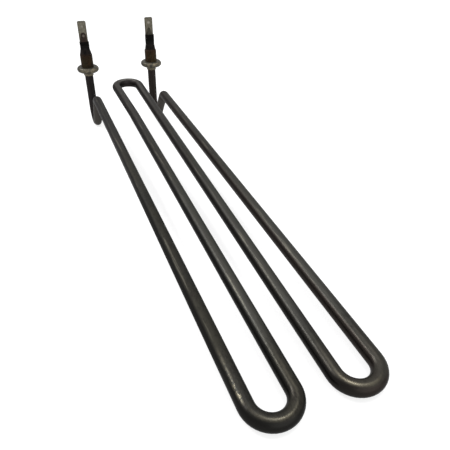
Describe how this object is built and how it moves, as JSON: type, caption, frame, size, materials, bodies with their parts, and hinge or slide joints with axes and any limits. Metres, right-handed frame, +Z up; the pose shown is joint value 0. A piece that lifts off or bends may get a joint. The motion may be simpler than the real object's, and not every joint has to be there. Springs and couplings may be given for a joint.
{
  "type": "tubular heating element",
  "caption": "Electric heating element: a dark metal tube bent into long parallel legs, with hooked rising ends that carry flanged bushes, insulators and flat push-on terminals.",
  "frame": {"origin": "midway between the two rising ends, on the upper face of their flanges", "axes": "+Z up along the rising ends towards the blades, legs along -Y, +X towards the right rising end"},
  "size_m": [0.0692, 0.3289, 0.0798],
  "materials": {
    "sheath": "dark oxidised, satin",
    "bush": "tarnished plating",
    "insulator": "heat-stained, matt",
    "sleeve": "matt black",
    "blade": "dull plated",
    "pin": "rust-stained",
    "filling": "pressed powder",
    "winding": "bare wire",
    "seal": "matt"
  },
  "bodies": {
    "root": {"sheath_tube": "sheath", "magnesia_filling": "filling", "resistance_coil": "winding", "left_end_seal": "seal", "right_end_seal": "seal", "left_pin": "pin", "right_pin": "pin", "left_flange_bush": "bush", "right_flange_bush": "bush", "left_insulator": "insulator", "right_insulator": "insulator", "left_sleeve": "sleeve", "right_sleeve": "sleeve", "left_tab": "blade", "right_tab": "blade"}
  },
  "joints": []
}
